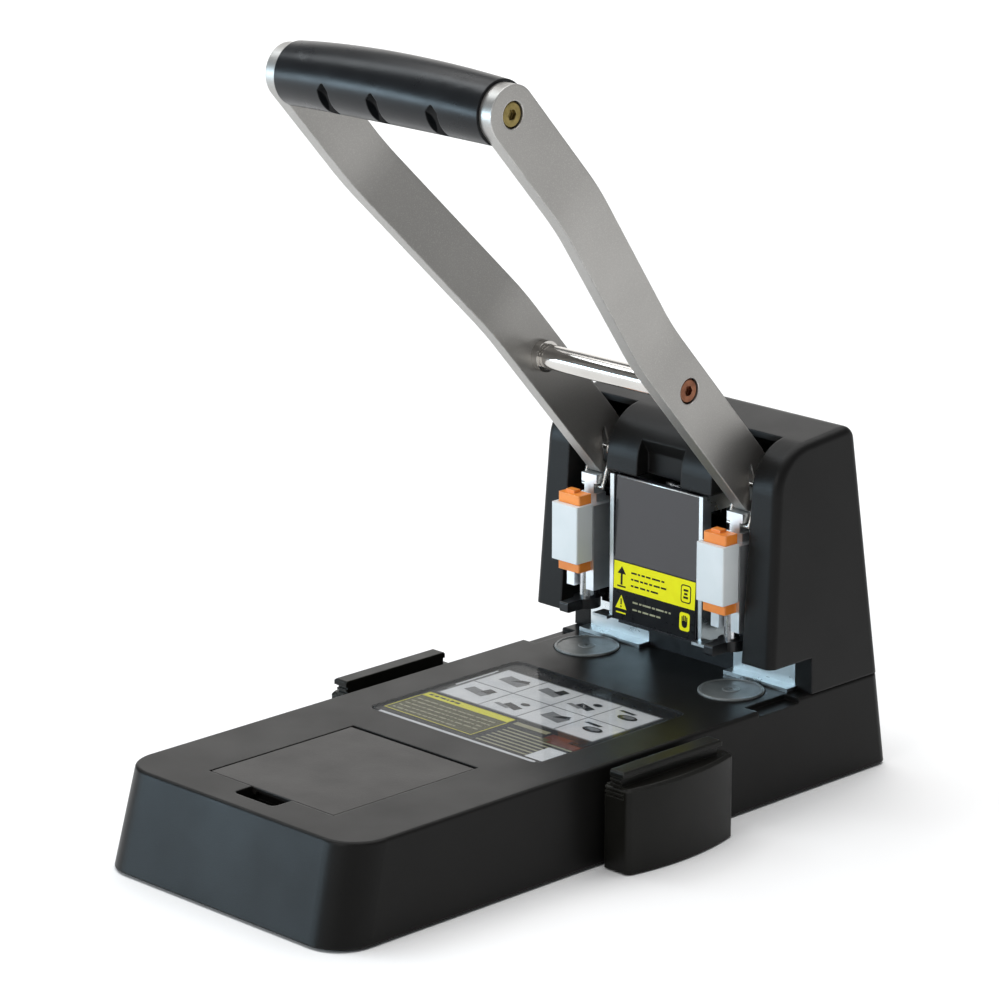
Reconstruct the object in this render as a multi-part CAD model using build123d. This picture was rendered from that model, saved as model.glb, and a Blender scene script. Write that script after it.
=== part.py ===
from build123d import *
from math import atan2, cos, degrees, hypot, radians, sin
import os

# Heavy-duty two-hole lever punch. Millimetres, +Z up, the user stands at -Y.
# The pieces are drawn about the line through the two punch pins (Y = 0) and
# moved at export, so that the origin is the middle of the footprint, on the floor.

# ---- driving dimensions -------------------------------------------------
PIN_SPACING = 80.0          # centre to centre of the two holes
PIN_X = PIN_SPACING / 2

BASE_TOP = 39.6             # height of the working surface
BASE_BOTTOM = 1.2           # the shell stands this far off the floor, on its feet
BASE_WALL = 2.5
BASE_SKIN = 3.0             # thickness of the working surface
BASE_HALF_BOTTOM = 67.5
BASE_HALF_TOP = 65.8
BASE_FRONT_BOTTOM = -239.0
BASE_FRONT_TOP = -228.9
BASE_REAR_BOTTOM = 65.5
BASE_REAR_TOP = 61.0
BASE_FRONT_RADIUS = 16.0
BASE_REAR_RADIUS = 5.0
PUNCH_LINE_Y = -(BASE_FRONT_BOTTOM + BASE_REAR_BOTTOM) / 2   # pin line in the finished frame

STOP_Y = 19.5               # face that the paper's edge meets
DISC_RADIUS = 13.4
DISC_TOP = 40.4
ANVIL_TOP = BASE_TOP - BASE_SKIN - 0.2

PIVOT_Y, PIVOT_Z = 27.0, 105.0        # lever hinge
SHAFT_RADIUS = 5.0
RUNNING = 0.05                        # radial clearance of turning and sliding fits
LEVER_SWING = 50.0                    # degrees from raised to fully pressed

ARM_ORIGIN = (-0.1, 135.5)            # a point (Y, Z) on the arm's centre line
ARM_SLOPE = 48.2                      # degrees above the horizontal, towards -Y
ARM_THICK = 6.0
ARM_HALF_WIDTH = 11.2
ARM_LOW_X = 40.0                      # mid-plane of the arm at the punch
ARM_HIGH_X = 57.1                     # mid-plane of the arm at the grip
GRIP_S = 214.2                        # grip axis, measured along the arm
ROD_S = 44.6                          # cross rod, measured along the arm
ROD_T = 0.2                           # and across it
NOSE_S, NOSE_T, NOSE_RADIUS = -18.4, -8.9, 2.3
HUB_RADIUS = 11.0

FRAME_INNER_X = 24.4                  # middle of the inner cheek's sheet
FRAME_OUTER_X = 55.6
SHEET = 2.0
CHEEK_TOP = 117.0

LID_HALF = 34.3
LID_FRONT = -210.0
LID_HINGE_Y, LID_HINGE_Z = -138.0, 37.7
LID_BARREL = 1.8

GUIDE_FRONT, GUIDE_REAR = -104.0, -43.5
SEAM = 0.4                            # visible gap round covers

os.makedirs("parts", exist_ok=True)


# ---- helpers ------------------------------------------------------------
def block(x0, x1, y0, y1, z0, z1):
    return Pos((x0 + x1) / 2, (y0 + y1) / 2, (z0 + z1) / 2) * Box(x1 - x0, y1 - y0, z1 - z0)


def rod_x(x0, x1, y, z, radius):
    return Pos((x0 + x1) / 2, y, z) * Rot(0, 90, 0) * Cylinder(radius, x1 - x0)


def rod_z(z0, z1, x, y, radius):
    return Pos(x, y, (z0 + z1) / 2) * Cylinder(radius, z1 - z0)


def side_face(points):
    """Face in the YZ plane through (Y, Z) points."""
    return Plane.YZ * make_face(Polyline(*points, close=True))


def side_prism(points, x0, x1):
    return Pos(x0, 0, 0) * extrude(side_face(points), amount=x1 - x0)


def rounded_plate(x0, x1, y0, y1, z0, z1, radius):
    outline = RectangleRounded(x1 - x0, y1 - y0, radius)
    return Pos((x0 + x1) / 2, (y0 + y1) / 2, z0) * extrude(outline, amount=z1 - z0)


def mirrored(solid):
    return mirror(solid, about=Plane.YZ)


def arm_point(s, t):
    """(Y, Z) of a point s along the arm and t behind its centre line."""
    a = radians(ARM_SLOPE)
    return (ARM_ORIGIN[0] - s * cos(a) + t * sin(a), ARM_ORIGIN[1] + s * sin(a) + t * cos(a))


def turned(point, degrees_down):
    """(Y, Z) of a point on the lever after it has been pressed down."""
    a = radians(degrees_down)
    dy, dz = point[0] - PIVOT_Y, point[1] - PIVOT_Z
    return (PIVOT_Y + dy * cos(a) - dz * sin(a), PIVOT_Z + dy * sin(a) + dz * cos(a))


NOSE = arm_point(NOSE_S, NOSE_T)
PUNCH_TRAVEL = NOSE[1] - turned(NOSE, LEVER_SWING)[1]
CARRIER_TOP = NOSE[1] - NOSE_RADIUS - 0.3
PIN_TIP = DISC_TOP + 0.25 + PUNCH_TRAVEL
FOOT_BOTTOM = 57.4
FOOT_TRAVEL = FOOT_BOTTOM - DISC_TOP - 0.5
LINK_PIN = (8.6, 123.6)
LINK_HOOK = (3.2, 108.0)
GRIP_Y, GRIP_Z = arm_point(GRIP_S, 0)
ROD_Y, ROD_Z = arm_point(ROD_S, ROD_T)


# ---- base ---------------------------------------------------------------
def base_outline(half, front, rear, inset):
    outline = Pos(0, (front + rear) / 2) * Rectangle(2 * (half - inset), rear - front - 2 * inset)
    corners = outline.vertices().sort_by(Axis.Y)
    outline = fillet(corners[:2], BASE_FRONT_RADIUS - inset)
    return fillet(outline.vertices().sort_by(Axis.Y)[-2:], BASE_REAR_RADIUS - inset * 0.8)


def base_body(z_low, z_high, inset):
    low = base_outline(BASE_HALF_BOTTOM, BASE_FRONT_BOTTOM, BASE_REAR_BOTTOM, inset)
    high = base_outline(BASE_HALF_TOP, BASE_FRONT_TOP, BASE_REAR_TOP, inset)
    return loft([Pos(0, 0, z_low) * low, Pos(0, 0, z_high) * high])


WELL_FLOOR = 12.0
LEDGE = 36.4
BOSSES = [(x, y) for y in (-222.0, -122.0, 50.0) for x in (-57.0, 57.0)]
RIB_X = 45.0
RAIL_LOW, RAIL_HIGH = 20.0, 25.0
RAIL_RIGHT = (-68.0, -56.0)
RAIL_LEFT = (-94.0, -82.0)
LABEL_X = 47.0
LABEL_Y = (-116.5, -33.5)
SLOT_X = (-10.5, 12.0)
SLOT_FRONT = -219.8


def storage_well():
    outer = block(-36.5, 36.5, -222.0, -132.5, WELL_FLOOR - 2, BASE_TOP - 1)
    inner = block(-31.5, 31.5, -206.0, -143.0, WELL_FLOOR, BASE_TOP)
    return outer - inner


def lid_opening():
    seat = block(-LID_HALF - SEAM, LID_HALF + SEAM, LID_FRONT - SEAM,
                 LID_HINGE_Y + LID_BARREL + SEAM, LEDGE, BASE_TOP + 5)
    pit = block(-31.5, 31.5, -206.0, -143.0, WELL_FLOOR, BASE_TOP)
    swing = block(-LID_HALF - SEAM, LID_HALF + SEAM, -142.4, LID_HINGE_Y + LID_BARREL + SEAM, 34.6, BASE_TOP)
    pins = rod_x(-LID_HALF - 2.7, LID_HALF + 2.7, LID_HINGE_Y, LID_HINGE_Z, 1.0 + RUNNING)
    return seat + pit + swing + pins


def finger_slot():
    mouth = rounded_plate(SLOT_X[0], SLOT_X[1], SLOT_FRONT, LID_FRONT + 3.0, 33.6, BASE_TOP + 5, 2.5)
    return mouth


def base_shell():
    shell = base_body(BASE_BOTTOM, BASE_TOP, 0)
    shell = fillet(shell.faces().sort_by(Axis.Z)[-1].edges(), 1.4)
    shell -= Pos(0, 0, -BASE_SKIN) * base_body(BASE_BOTTOM, BASE_TOP, BASE_WALL)
    shell += storage_well()
    for x, y in BOSSES:
        shell += rod_z(4.2, BASE_TOP - 1, x, y, 4.0)
        shell -= rod_z(0, 24.0, x, y, 1.5)
    for x in (-RIB_X, RIB_X):
        shell += block(x - 1.5, x + 1.5, -100, -50, 10, BASE_TOP - 1)
    for y0, y1 in (RAIL_LEFT, RAIL_RIGHT):
        shell -= block(-80, 80, y0 - SEAM, y1 + SEAM, RAIL_LOW - SEAM, RAIL_HIGH + SEAM)
    shell -= lid_opening() + finger_slot()
    shell -= rounded_plate(-LABEL_X - 0.2, LABEL_X + 0.2, LABEL_Y[0] - 0.2, LABEL_Y[1] + 0.2,
                           BASE_TOP - 1.0, BASE_TOP + 5, 4.2)
    for side in (-1, 1):
        shell -= rod_z(20, 60, side * PIN_X, 0, DISC_RADIUS + 0.3)
        edge = block(58, 70, -12.0, 12.0, BASE_TOP - 2.0, BASE_TOP + 5)
        shell -= edge if side > 0 else mirrored(edge)
        shell += rod_z(24.0, BASE_TOP - 1, side * 50, 40, 5.0)
        shell -= rod_z(20.0, BASE_TOP + 5, side * 50, 40, 2.5)
    return shell


def base_plate():
    plate = Pos(0, 0, -BASE_SKIN) * base_body(BASE_BOTTOM, BASE_TOP, BASE_WALL + 0.2)
    plate &= block(-80, 80, -260, 80, BASE_BOTTOM, BASE_BOTTOM + 2.4)
    for x, y in BOSSES:
        plate -= rod_z(0, 6, x, y, 1.7)
        plate -= rod_z(0, 2.6, x, y, 3.6)
    return plate


def rubber_feet():
    feet = []
    for x in (-50, 50):
        for y in (-205, 38):
            foot = rod_z(0, BASE_BOTTOM, x, y, 9)
            feet.append(chamfer(foot.faces().sort_by(Axis.Z)[0].edges(), 0.5))
    return feet


def base_screws():
    screws = []
    for x, y in BOSSES:
        screw = rod_z(1.4, 2.6, x, y, 3.4) + rod_z(2.6, 14, x, y, 1.45)
        screws.append(screw - rod_z(0, 2.1, x, y, 0.9))
    return screws


def anvil_plate():
    plate = block(-58, 58, -18, 16.5, ANVIL_TOP - 6, ANVIL_TOP)
    return plate


def cutting_disc(x):
    disc = rod_z(ANVIL_TOP, DISC_TOP, x, 0, DISC_RADIUS)
    disc = chamfer(disc.faces().sort_by(Axis.Z)[-1].edges(), 0.4)
    disc -= rod_z(DISC_TOP - 0.25, DISC_TOP + 1, x, 0, DISC_RADIUS - 1.3)
    disc += rod_z(DISC_TOP - 1, DISC_TOP - 0.05, x, 0, 3.4)
    return disc - rod_z(DISC_TOP - 1.2, DISC_TOP + 1, x, 0, 0.9)


def storage_lid():
    lid = block(-LID_HALF, LID_HALF, LID_FRONT, LID_HINGE_Y, 36.7, LID_HINGE_Z + LID_BARREL)
    lid = fillet(lid.edges().filter_by(Axis.Z).sort_by(Axis.Y)[:2], 1.0)
    lid = chamfer(lid.faces().sort_by(Axis.Z)[-1].edges().sort_by(Axis.Y)[:3], 0.3)
    lid += rod_x(-LID_HALF, LID_HALF, LID_HINGE_Y, LID_HINGE_Z, LID_BARREL)
    lid += rod_x(-LID_HALF - 2.4, LID_HALF + 2.4, LID_HINGE_Y, LID_HINGE_Z, 1.0)
    return lid - block(SLOT_X[0] + 2, SLOT_X[1] - 2, LID_FRONT - 1, LID_FRONT + 1.6, 36, 38.0)


def label_card():
    return rounded_plate(-LABEL_X + 1, LABEL_X - 1, LABEL_Y[0] + 1, LABEL_Y[1] - 1,
                         BASE_TOP - 1.0, BASE_TOP - 0.75, 3.2)


def label_cover():
    cover = rounded_plate(-LABEL_X, LABEL_X, LABEL_Y[0], LABEL_Y[1], BASE_TOP - 0.7, BASE_TOP + 0.3, 4.0)
    return chamfer(cover.faces().sort_by(Axis.Z)[-1].edges(), 0.25)


# ---- pull-out paper guides ----------------------------------------------
def guide_handle():
    """Right-hand handle: a bulging hollow grip under a narrow flanged top, ribbed at its front end."""
    inner, shoulder, flange = 70.6, 34.6, (73.2, 80.2)
    body = make_face([
        Line((inner, GUIDE_FRONT), (82.8, GUIDE_FRONT)),
        ThreePointArc((82.8, GUIDE_FRONT), (86.0, -75.0), (81.2, GUIDE_REAR)),
        Line((81.2, GUIDE_REAR), (inner, GUIDE_REAR)),
        Line((inner, GUIDE_REAR), (inner, GUIDE_FRONT)),
    ])
    handle = Pos(0, 0, 0.6) * extrude(body, amount=shoulder - 0.6)
    handle = fillet(handle.edges().filter_by(Axis.Z).sort_by(Axis.X)[-2:], 2.4)
    handle = chamfer(handle.faces().sort_by(Axis.Z)[-1].edges().sort_by(Axis.X)[-3:], 1.2)
    handle += block(flange[0], flange[1] - 1.6, GUIDE_FRONT, GUIDE_REAR - 6.5, shoulder, 38.4)
    top = block(*flange, GUIDE_FRONT, GUIDE_REAR - 5.5, 38.4, 40.8)
    handle += chamfer(top.faces().sort_by(Axis.Z)[-1].edges().sort_by(Axis.X)[-3:], 0.7)
    handle -= block(inner + 2.6, 78.6, GUIDE_FRONT + 4, GUIDE_REAR - 4, -1, 31)
    for k in range(5):
        groove = 30.2 + 1.8 * k
        handle -= block(inner - 1, flange[1] + 0.2, GUIDE_FRONT - 1, GUIDE_FRONT + 0.9, groove, groove + 0.9)
    return handle


def guide_rail(side):
    y0, y1 = RAIL_RIGHT if side > 0 else RAIL_LEFT
    rail = block(-55, 70.6, y0, y1, RAIL_LOW, RAIL_HIGH)
    rail -= block(-48, 60, (y0 + y1) / 2 - 2.2, (y0 + y1) / 2 + 2.2, RAIL_HIGH - 1.2, RAIL_HIGH + 1)
    return rail if side > 0 else mirrored(rail)


# ---- steel frame --------------------------------------------------------
def punch_frame():
    """Right-hand U-shaped sheet frame: a web that stops the paper and two cheeks."""
    inner0, inner1 = FRAME_INNER_X - SHEET / 2, FRAME_INNER_X + SHEET / 2
    outer0, outer1 = FRAME_OUTER_X - SHEET / 2, FRAME_OUTER_X + SHEET / 2
    frame = block(inner0, outer1, STOP_Y, STOP_Y + SHEET, BASE_TOP, CHEEK_TOP)
    frame -= block(inner1, outer0, STOP_Y - 1, STOP_Y + SHEET + 1, 90, CHEEK_TOP + 5)
    frame -= block(45.6, 50.4, STOP_Y - 1, STOP_Y + SHEET + 1, 53, 80)
    frame += block(inner0, inner1, -2.0, 42, 56.4, CHEEK_TOP)
    frame += block(inner0, inner1, STOP_Y + 3, 42, 42.6, 57)
    frame += block(inner0, 31.5, -5.6, 1.0, 56.4, 57.6)
    frame += block(outer0, outer1, 4.0, 42, 57.4, CHEEK_TOP)
    frame += block(outer0, outer1, STOP_Y + 3, 42, 42.6, 58)
    flange = block(inner0, 57.6, 13.6, STOP_Y, BASE_TOP, BASE_TOP + 1.6)
    frame += flange - rod_z(30, 50, PIN_X, 0, DISC_RADIUS + 0.9)
    frame -= rod_x(20, 60, PIVOT_Y, PIVOT_Z, SHAFT_RADIUS + RUNNING)
    frame -= block(20, 30, 3, 14, 95, 110)
    return frame


def mounting_plate():
    plate = block(-58, 58, STOP_Y + 2.9, 56, BASE_TOP, 42.6)
    for x in (-50, 50):
        plate -= rod_z(30, 50, x, 40, 3.1)
    return plate


def frame_bolts():
    bolts = []
    for x in (-50, 50):
        bolt = rod_z(42.6, 47.6, x, 40, 4.6) + rod_z(28, 42.6, x, 40, 2.45)
        bolts.append(bolt - rod_z(44.6, 48, x, 40, 2.2))
    return bolts


def carrier_guide(x):
    """Block on the web with a T slot, in which the carrier's tongue slides."""
    guide = block(x - 8, x + 8, 10.0, STOP_Y, 58.2, 90)
    guide -= block(x - 2.3, x + 2.3, 9, 13.2, 50, 95)
    return guide - block(x - 4.8, x + 4.8, 13.0, 16.7, 50, 95)


def centre_block():
    body = block(-23.0, 23.0, STOP_Y, 22.2, BASE_TOP, 56.2) + block(-23.0, 23.0, 22, 32, 42.8, 56.2)
    body -= block(-30, 30, STOP_Y - 1, STOP_Y + 0.8, 47.5, 54.0)
    return body + block(-23.0, 23.0, 0.8, STOP_Y + 1, 53.8, 56.2)


# ---- lever shaft --------------------------------------------------------
def pivot_shaft():
    shaft = rod_x(-58.6, 58.6, PIVOT_Y, PIVOT_Z, SHAFT_RADIUS)
    shaft = chamfer(shaft.edges().filter_by(GeomType.CIRCLE), 0.8)
    for x in (-57.6, 57.6):
        ring = rod_x(x - 0.5, x + 0.5, PIVOT_Y, PIVOT_Z, 8)
        shaft -= ring - rod_x(x - 1, x + 1, PIVOT_Y, PIVOT_Z, 4.4)
    return shaft


def retaining_rings():
    rings = []
    for x in (-57.6, 57.6):
        ring = rod_x(x - 0.45, x + 0.45, PIVOT_Y, PIVOT_Z, 7.2) - rod_x(x - 1, x + 1, PIVOT_Y, PIVOT_Z, 4.4)
        rings.append(ring - block(x - 1, x + 1, PIVOT_Y, PIVOT_Y + 9, PIVOT_Z - 1.6, PIVOT_Z + 1.6))
    return rings


def tube_x(x0, x1, outer, inner):
    return rod_x(x0, x1, PIVOT_Y, PIVOT_Z, outer) - rod_x(x0 - 1, x1 + 1, PIVOT_Y, PIVOT_Z, inner)


def shaft_spacers():
    inner = tube_x(FRAME_INNER_X + 1.1, ARM_LOW_X - 3.6, 7, SHAFT_RADIUS + RUNNING)
    outer = tube_x(ARM_LOW_X + 3.6, FRAME_OUTER_X - 1.1, 7, SHAFT_RADIUS + RUNNING)
    return [inner, outer, mirrored(inner), mirrored(outer)]


def return_spring():
    """Right-hand torsion spring round the shaft, one end hooked behind the frame."""
    wire, coil = 1.1, 8.4
    spring = None
    for k in range(3):
        turn = Pos(28.0 + 2.0 * k, PIVOT_Y, PIVOT_Z) * Rot(0, 90, 0) * Torus(coil, wire)
        spring = turn if spring is None else spring + turn
    spring += rod_z(62, PIVOT_Z, 28.0, PIVOT_Y + coil, wire)
    return spring + rod_z(PIVOT_Z, PIVOT_Z + 8, 32.0, PIVOT_Y - coil, wire)


# ---- lever --------------------------------------------------------------
def arm_ribbon():
    """The bar's bends, seen square to its flat: low and straight, then out to the grip."""
    half = ARM_THICK / 2
    a = radians(ARM_SLOPE)
    plane = Plane(origin=(0, ARM_ORIGIN[0], ARM_ORIGIN[1]), x_dir=(0, -cos(a), sin(a)), z_dir=(0, sin(a), cos(a)))
    bend_low, bend_high = 72.0, 160.0
    inner = [(-80, ARM_LOW_X - half), (bend_low, ARM_LOW_X - half), (bend_high, ARM_HIGH_X - half), (250, ARM_HIGH_X - half)]
    outer = [(s, x + ARM_THICK) for s, x in reversed(inner)]
    face = make_face(Polyline(*inner, *outer, close=True))
    bends = [v for v in face.vertices() if -50 < v.X < 240]
    face = fillet(bends, 90)
    return extrude(plane * face, amount=80, both=True)


def arm_side():
    """The bar's side view, with its nose, its hub and the round end at the grip."""
    w = ARM_HALF_WIDTH
    bar = [arm_point(GRIP_S, w), arm_point(GRIP_S, -w), arm_point(NOSE_S, -w), arm_point(NOSE_S, NOSE_T),
           arm_point(NOSE_S + 2, -6.2), arm_point(-7, 0.5), arm_point(-5, 8), arm_point(-8, w), arm_point(0, w)]
    profile = side_prism(bar, 30, 70)
    profile += rod_x(30, 70, GRIP_Y, GRIP_Z, w)
    profile += rod_x(30, 70, NOSE[0], NOSE[1], NOSE_RADIUS)
    profile += rod_x(30, 70, PIVOT_Y, PIVOT_Z, HUB_RADIUS)
    away = degrees(atan2(PIVOT_Z - arm_point(0, w)[1], PIVOT_Y - arm_point(0, w)[0]))
    ny, nz = -sin(radians(away)), cos(radians(away))
    leg = [(PIVOT_Y + HUB_RADIUS * ny, PIVOT_Z + HUB_RADIUS * nz), arm_point(14, w), arm_point(4, -4),
           arm_point(-4, 4), (PIVOT_Y - HUB_RADIUS * ny * 0.98, PIVOT_Z - HUB_RADIUS * nz * 0.98)]
    return profile + side_prism(leg, 30, 70)


def lever_arm():
    arm = arm_side() & arm_ribbon()
    high, low = ARM_HIGH_X, ARM_LOW_X
    arm -= rod_x(30, 50, PIVOT_Y, PIVOT_Z, 8.0)
    arm -= rod_x(low - 5, low + 5, LINK_PIN[0], LINK_PIN[1], 0.95 + RUNNING)
    arm -= rod_x(high - 5, high + 5, GRIP_Y, GRIP_Z, 3.1)
    arm -= rod_x(high - 0.2, high + 5, GRIP_Y, GRIP_Z, 5.2)
    arm -= rod_x(low - 5, low + 5, ROD_Y, ROD_Z, 3.1)
    return arm - rod_x(low - 0.2, low + 5, ROD_Y, ROD_Z, 5.2)


def socket_screw(face_x, y, z, length):
    """Countersunk socket screw whose head stands just below an outer face at face_x."""
    screw = rod_x(face_x - 3.1, face_x - 0.5, y, z, 4.9)
    screw = chamfer(screw.faces().sort_by(Axis.X)[-1].edges(), 0.6)
    screw += rod_x(face_x - length, face_x - 3.1, y, z, 2.95)
    hexagon = Plane.YZ * RegularPolygon(2.2, 6)
    return screw - Pos(face_x - 2.2, y, z) * extrude(hexagon, amount=5)


def notch_cutter(x, y, z):
    """A thin double-coned disc about the X axis."""
    disc = rod_x(x - 2.9, x + 2.9, y, z, 12.0)
    return chamfer(disc.edges(), 2.4)


def grip():
    """Bowed moulded grip between the arms, with three finger notches."""
    end = ARM_HIGH_X - ARM_THICK / 2
    a = radians(ARM_SLOPE)
    sections = []
    for k in range(-3, 4):
        u = k / 3
        lift = 2.4 * (1 - u * u)
        y, z = GRIP_Y - lift * cos(a), GRIP_Z + lift * sin(a)
        radius = 12.4 + 0.9 * (1 - u * u)
        sections.append(Plane(origin=(u * end, y, z), x_dir=(0, 1, 0), z_dir=(1, 0, 0)) * Circle(radius))
    body = loft(sections)
    down = radians(30)
    for x in (-25.6, 1.3, 32.0):
        body -= notch_cutter(x, GRIP_Y - 20 * cos(down), GRIP_Z - 20 * sin(down))
    return body - rod_x(-60, 60, GRIP_Y, GRIP_Z, 4.0 + RUNNING)


def grip_rod():
    end = ARM_HIGH_X - ARM_THICK / 2
    rod = rod_x(-end, end, GRIP_Y, GRIP_Z, 4.0)
    for side in (-1, 1):
        rod -= rod_x(side * end - 12, side * end + 12, GRIP_Y, GRIP_Z, 3.0)
    return rod


def cross_rod():
    end = ARM_LOW_X - ARM_THICK / 2
    rod = rod_x(-end, end, ROD_Y, ROD_Z, 5.0)
    for side in (-1, 1):
        rod -= rod_x(side * end - 12, side * end + 12, ROD_Y, ROD_Z, 3.0)
    return rod


def rod_collars():
    end = ARM_LOW_X - ARM_THICK / 2
    collar = rod_x(end - 3.4, end, ROD_Y, ROD_Z, 6.4) - rod_x(0, 60, ROD_Y, ROD_Z, 5.0 + RUNNING)
    return [collar, mirrored(collar)]


def hub_bush():
    return tube_x(ARM_LOW_X - 3.4, ARM_LOW_X + 3.4, 8.0, SHAFT_RADIUS + RUNNING)


# ---- punch units --------------------------------------------------------
def punch_pin(x):
    pin = rod_z(PIN_TIP, 98, x, 0, 3.25) - rod_z(PIN_TIP - 1, 99, x, 0, 2.4)
    pin -= Pos(x, 0, PIN_TIP) * Cone(3.1, 2.3, 1.6)
    collar = rod_z(94, 98, x, 0, 4.0) - rod_z(90, 99, x, 0, 2.4)
    return pin + collar


def pin_carrier(x):
    carrier = block(x - 7.5, x + 7.5, -4.2, 6.4, 66, 102)
    carrier += block(x - 4.2, x + 4.2, 0.7, 6.4, 101, CARRIER_TOP)
    carrier += block(x - 2.0, x + 2.0, 6.0, 14.0, 68, 100)
    carrier += block(x - 4.5, x + 4.5, 13.3, 16.4, 68, 100)
    carrier -= rod_z(60, 94, x, 0, 3.3) + block(x - 3.3, x + 3.3, -6, 0, 60, 94)
    carrier -= rod_z(93.9, 99.5, x, 0, 4.05) + block(x - 4.05, x + 4.05, -6, 0, 93.9, 99.5)
    groove_low, groove_high = LINK_HOOK[1] - 2.6, LINK_HOOK[1] + 1.6
    for side in (-1, 1):
        cut = block(x + 2.6, x + 6, -5, 8, groove_low, groove_high)
        if side < 0:
            cut = block(x - 6, x - 2.6, -5, 8, groove_low, groove_high)
        carrier -= cut
    return carrier


def pin_lock(x):
    """Coloured core on the carrier's face that holds the pin, with a small thumb tab."""
    lock = block(x - 6, x + 6, -11, -4.2, 74.5, 107.0)
    lock = chamfer(lock.edges().filter_by(Axis.Z).sort_by(Axis.Y)[:2], 0.4)
    return lock + block(x - 3.6, x + 1.2, -9.0, -5.6, 107.0, 108.2)


def release_sleeve(x):
    sleeve = block(x - 7.25, x + 7.25, -13.6, -4.6, 79, 103)
    sleeve = fillet(sleeve.edges().filter_by(Axis.Z).sort_by(Axis.Y)[:2], 0.6)
    return sleeve - block(x - 6.15, x + 6.15, -11.2, 0, 70, 110)


def pressure_foot(x):
    """Spring-loaded foot round the pin that holds the paper and strips it off the pin."""
    low, high = FOOT_BOTTOM, FOOT_BOTTOM + 4.2
    foot = block(x - 2.3, x + 2.3, -13.8, 2, low, high)
    foot += rod_z(low, high, x, 0, 5.6)
    foot = fillet(foot.edges().filter_by(Axis.X).sort_by(Axis.Y)[:2], 0.8)
    return foot - rod_z(low - 5, high + 5, x, 0, 3.25 + RUNNING)


def hairpin_link(x):
    """Bent wire: a pin through the arm's nose, a coil beside it and two hooked legs."""
    wire, spread = 0.95, 5.4
    py, pz = LINK_PIN
    hy, hz = LINK_HOOK
    length = hypot(py - hy, pz - hz)
    lean = degrees(atan2(hy - py, pz - hz))
    link = rod_x(x - spread, x + spread + 2.2, py, pz, wire)
    for leg in (-spread, spread):
        link += Pos(x + leg, (py + hy) / 2, (pz + hz) / 2) * Rot(lean, 0, 0) * Cylinder(wire, length)
        link += Pos(x + leg, hy, hz) * Sphere(wire)
        link += Pos(x + leg, py, pz) * Sphere(wire)
    link += rod_x(x - spread, x - 2.9, hy, hz, wire)
    link += rod_x(x + 2.9, x + spread, hy, hz, wire)
    for k in range(2):
        link += Pos(x + spread + 0.2 + 1.6 * k, py, pz) * Rot(0, 90, 0) * Torus(2.6, wire)
        link += block(x + spread - 0.7 + 1.6 * k, x + spread + 1.1 + 1.6 * k, py - 2.6, py, pz - 0.6, pz + 0.6)
    return link


# ---- chip bin -----------------------------------------------------------
def chip_bin():
    """Smoked drawer between the punches: a tall front and a low box behind it."""
    front = side_prism([(-3.0, 56.5), (-0.8, 116.8), (1.4, 116.8), (1.4, 56.5)], -23.0, 23.0)
    box = block(-22.6, 22.6, 0.8, 22, 57.0, 91) - block(-20.8, 20.8, 3.0, 20.2, 59, 95)
    return front + box


def bin_label():
    """Printed strip on the lower part of the bin's front."""
    slope = (3.0 - 0.8) / (116.8 - 56.5)
    low, high, skin = 57.0, 81.5, 0.25
    y_low, y_high = -3.0 + slope * (low - 56.5), -3.0 + slope * (high - 56.5)
    return side_prism([(y_low - skin, low), (y_high - skin, high), (y_high, high), (y_low, low)], -22.6, 22.6)


# ---- housing ------------------------------------------------------------
HOUSING_BOTTOM = BASE_TOP
TOWER_BOTTOM = 54.6
HUMP_BOTTOM = 118.0
HOUSING_WALL = 2.5
CHANNEL = (28.6, 50.0)
CHANNEL_REAR = 17.5


def housing_solid(inset):
    """Leaning front, rolled top, sloping back and slightly drafted sides."""
    i = inset
    outline = [(-6.0 + i, HOUSING_BOTTOM), (0.6 + i, 141.2 - i), (45.8 - i, 145.4 - i), (60.3 - i, HOUSING_BOTTOM)]
    face = side_face(outline)
    corners = face.vertices().sort_by(Axis.Z)[-2:].sort_by(Axis.Y)
    face = fillet(corners[0], 20 - i)
    face = fillet(face.vertices().sort_by(Axis.Y)[-2:].sort_by(Axis.Z)[-1], 6 - i)
    body = Pos(-70, 0, 0) * extrude(face, amount=140)
    half_low, half_high = 65.8 - i, 62.6 - i
    sides = Plane.XZ * make_face(Polyline((-half_low, HOUSING_BOTTOM), (half_low, HOUSING_BOTTOM),
                                          (half_high, 150), (-half_high, 150), close=True))
    return body & extrude(sides, amount=100, both=True)


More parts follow.
